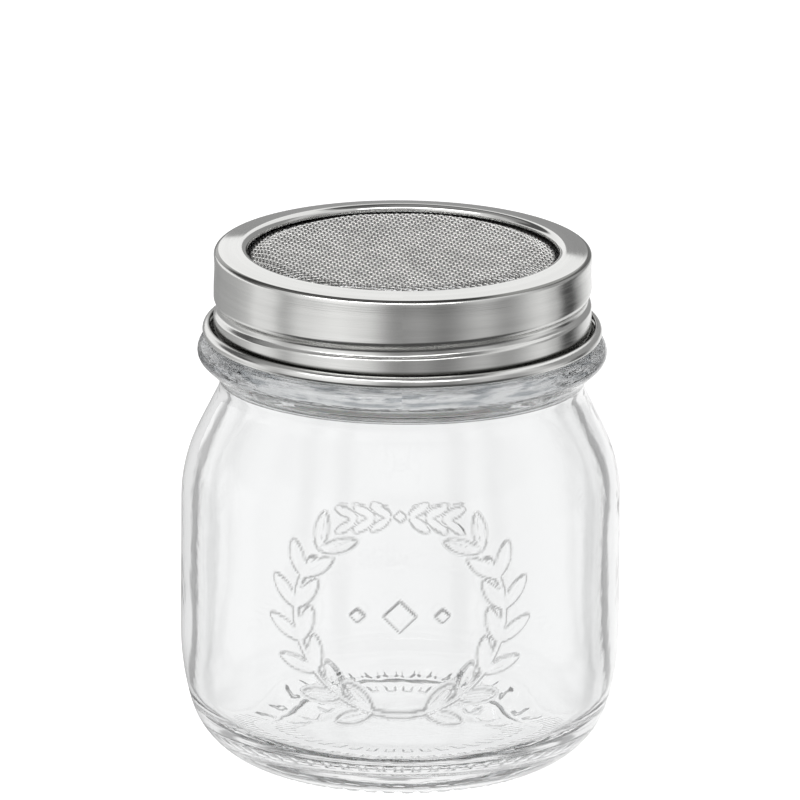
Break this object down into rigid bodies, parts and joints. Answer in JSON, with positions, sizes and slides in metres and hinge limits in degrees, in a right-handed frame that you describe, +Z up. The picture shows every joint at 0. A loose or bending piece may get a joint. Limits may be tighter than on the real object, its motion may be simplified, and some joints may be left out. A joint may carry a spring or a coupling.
{
  "type": "glass spice jar with shaker lid",
  "caption": "Round clear glass spice jar with a bead below its neck, and a screw-on steel cap holding a domed wire sieve for shaking out the contents.",
  "frame": {"origin": "centre of the ring that the jar stands on", "axes": "+Z up along the jar's axis, -Y towards the front with the raised wreath, +X to the right"},
  "size_m": [0.084, 0.0848, 0.0995],
  "materials": {
    "glass": "clear colourless pressed glass, polished, with a faint grey tint at thick edges",
    "steel": "satin stainless sheet, drawn and rolled",
    "wire": "bright woven stainless wire",
    "seal": "soft milky silicone"
  },
  "bodies": {
    "jar": {"jar": "glass"},
    "seal": {"seal_ring": "seal"},
    "lid": {"lid_shell": "steel", "mesh": "wire", "mesh_ring": "steel"}
  },
  "joints": [
    {"name": "lid_rise", "type": "slide", "parent": "jar", "child": "seal", "axis": [0, 0, 1], "range_m": [0, 0.018]},
    {"name": "lid_turn", "type": "hinge", "parent": "seal", "child": "lid", "pos_m": [0, 0, 0.09], "axis": [0, 0, 1], "range_deg": [0, 1440]}
  ],
  "couplings": [
    {"joint": "lid_rise", "follows": "lid_turn", "m_per_rad": 0.0007162}
  ]
}
